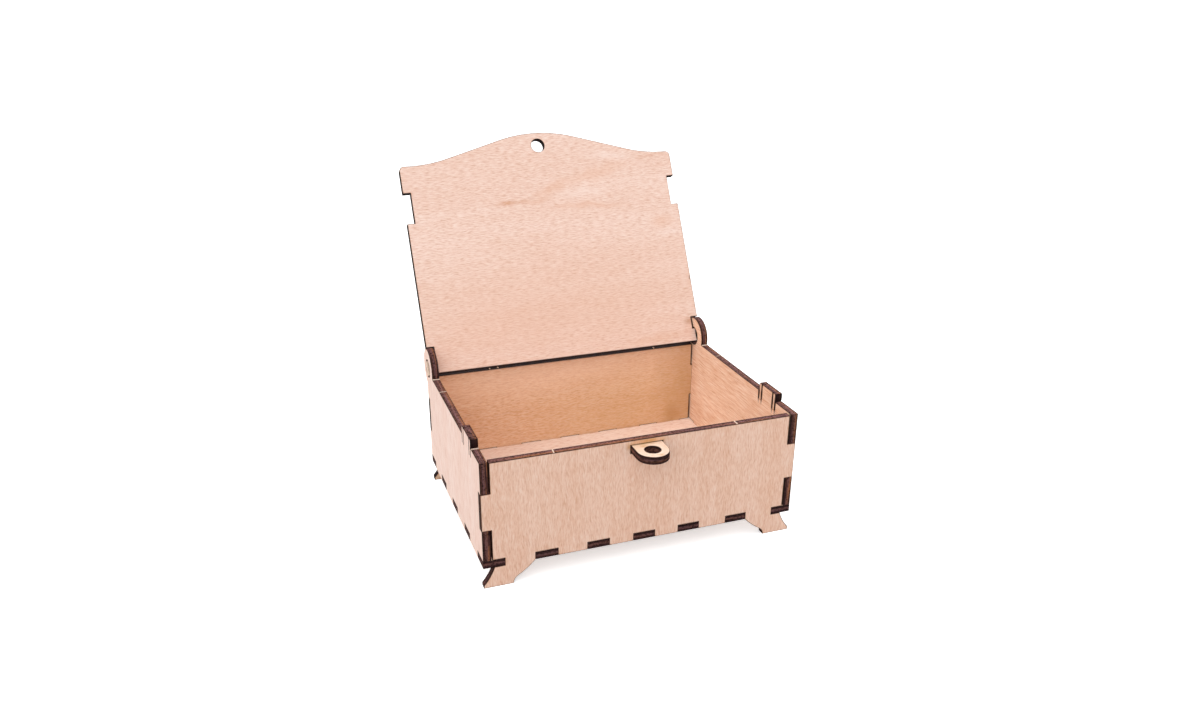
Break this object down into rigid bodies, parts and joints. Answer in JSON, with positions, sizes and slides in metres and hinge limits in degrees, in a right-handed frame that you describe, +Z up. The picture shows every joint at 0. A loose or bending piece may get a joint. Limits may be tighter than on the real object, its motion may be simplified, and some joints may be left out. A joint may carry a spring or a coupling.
{
  "type": "hinged keepsake box",
  "caption": "Open laser-cut plywood keepsake chest with finger-jointed walls, ogee feet, a hinged lid with a curved crown, snap tongues and a padlock eye.",
  "frame": {"origin": "on the table under the feet, at the middle of the open chest's width and depth", "axes": "+X to the chest's right as seen from its front, +Y to its back, +Z up"},
  "size_m": [0.126, 0.1484, 0.1404],
  "materials": {
    "wall_ply": "bare beech-faced plywood with laser-burnt edges",
    "bottom_ply": "bare beech-faced plywood with laser-burnt edges",
    "lid_ply": "bare beech-faced plywood with laser-burnt edges"
  },
  "bodies": {
    "box": {"front_panel": "wall_ply", "back_panel": "wall_ply", "left_side": "wall_ply", "right_side": "wall_ply", "bottom_panel": "bottom_ply", "lock_eye": "wall_ply"},
    "lid": {"lid": "lid_ply"}
  },
  "joints": [
    {"name": "lid_hinge", "type": "hinge", "parent": "box", "child": "lid", "pos_m": [0, 0.02499, 0.0533], "axis": [1, 0, 0], "range_deg": [-91, 119]}
  ]
}
